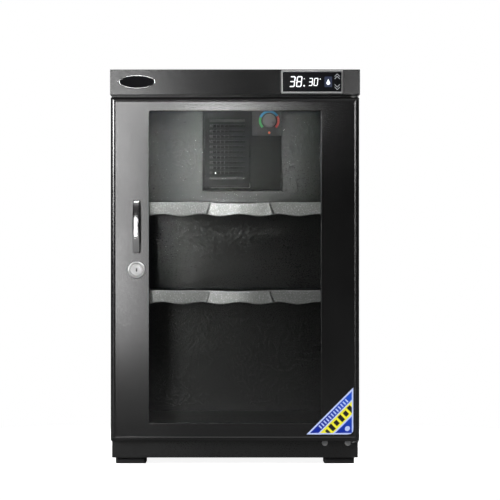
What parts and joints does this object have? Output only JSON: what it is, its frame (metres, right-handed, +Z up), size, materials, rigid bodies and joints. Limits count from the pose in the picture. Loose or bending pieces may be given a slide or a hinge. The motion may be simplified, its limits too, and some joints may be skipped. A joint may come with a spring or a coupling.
{
  "type": "camera dry cabinet",
  "caption": "Black steel dry cabinet with a glazed hinged door, bow handle and cam lock, pull-out trays, a drying unit and a header with a humidity display.",
  "frame": {"origin": "on the surface the cabinet stands on, under the middle of the box round the whole cabinet", "axes": "+X to the right seen from the front, +Y from the door to the back, +Z up"},
  "size_m": [0.4, 0.414, 0.633],
  "materials": {
    "casing_paint": "black powder coat, fine satin grain",
    "header_paint": "black powder coat, satin",
    "door_paint": "black powder coat, satin with a soft sheen",
    "liner_paint": "black powder coat",
    "tray_paint": "dark grey powder coat, fine texture",
    "tray_trim": "grey textured coat with a metallic sheen",
    "zinc_steel": "bright zinc plate",
    "chrome_trim": "polished",
    "black_plastic": "moulded, fine grain",
    "gloss_black": "polished",
    "white_plastic": "moulded",
    "circuit_board": "lacquered",
    "wire_sleeve": "smooth sleeve",
    "foot_rubber": "matte",
    "seal_rubber": "matte",
    "plate_grey": "fine grain",
    "dial_print": "printed ring from green through blue to red",
    "lamp_red": "clear moulding",
    "sink_aluminium": "extruded, satin",
    "window_glass": "clear toughened glass",
    "label_film": "printed film in blue, yellow and white",
    "knob_plastic": "moulded, dark"
  },
  "bodies": {
    "cabinet": {"left_side_panel": "casing_paint", "right_side_panel": "casing_paint", "floor_panel": "casing_paint", "ceiling_panel": "casing_paint", "back_panel": "casing_paint", "header_cover": "header_paint", "header_screws": "zinc_steel", "badge_rim": "chrome_trim", "badge_plate": "gloss_black", "display_bezel": "chrome_trim", "display_window": "gloss_black", "digit_modules": "white_plastic", "display_board": "circuit_board", "power_supply": "zinc_steel", "power_inlet": "black_plastic", "wiring": "wire_sleeve", "feet": "foot_rubber", "foot_screws": "zinc_steel", "lower_hinge_bracket": "zinc_steel", "upper_hinge_bracket": "zinc_steel", "hinge_pins": "chrome_trim", "hinge_screws": "chrome_trim", "upper_left_runner": "zinc_steel", "upper_right_runner": "zinc_steel", "lower_left_runner": "zinc_steel", "lower_right_runner": "zinc_steel", "runner_rivets": "zinc_steel", "unit_housing": "black_plastic", "unit_cover": "black_plastic", "control_plate": "plate_grey", "dial_ring": "dial_print", "indicator_lens": "lamp_red", "potentiometer": "circuit_board", "cold_sink": "sink_aluminium", "peltier_module": "white_plastic", "hot_sink": "sink_aluminium", "sink_screws": "chrome_trim", "drip_tray": "white_plastic", "rear_cover": "casing_paint", "rear_cover_screws": "zinc_steel"},
    "door": {"door_skin": "door_paint", "door_liner": "liner_paint", "window_glass": "window_glass", "glass_seal": "seal_rubber", "door_gasket": "seal_rubber", "hinge_bushes": "white_plastic", "handle": "chrome_trim", "handle_screws": "zinc_steel", "lock_barrel": "chrome_trim", "lock_nut": "zinc_steel", "corner_label": "label_film"},
    "lock": {"lock_plug": "chrome_trim", "lock_cam": "zinc_steel", "cam_screw": "zinc_steel"},
    "knob": {"dial_shaft": "zinc_steel", "humidity_knob": "knob_plastic"},
    "upper_tray": {"upper_tray": "tray_paint", "upper_tray_front": "tray_trim"},
    "lower_tray": {"lower_tray": "tray_paint", "lower_tray_front": "tray_trim"}
  },
  "joints": [
    {"name": "door_hinge", "type": "hinge", "parent": "cabinet", "child": "door", "pos_m": [0.192, -0.168, 0.3135], "axis": [0, 0, 1], "range_deg": [0, 120]},
    {"name": "lock_turn", "type": "hinge", "parent": "door", "child": "lock", "pos_m": [-0.1575, -0.165, 0.312], "axis": [0, 1, 0], "range_deg": [0, 90]},
    {"name": "humidity_knob_turn", "type": "hinge", "parent": "cabinet", "child": "knob", "pos_m": [0.05905, 0.131, 0.5694], "axis": [0, 1, 0], "range_deg": [-270, 7.5]},
    {"name": "upper_tray_slide", "type": "slide", "parent": "cabinet", "child": "upper_tray", "axis": [0, -1, 0], "range_m": [0, 0.105]},
    {"name": "lower_tray_slide", "type": "slide", "parent": "cabinet", "child": "lower_tray", "axis": [0, -1, 0], "range_m": [0, 0.105]}
  ],
  "couplings": [
    {"joint": "upper_tray_slide", "follows": "door_hinge", "m_per_rad": 0.05},
    {"joint": "lower_tray_slide", "follows": "door_hinge", "m_per_rad": 0.05}
  ]
}
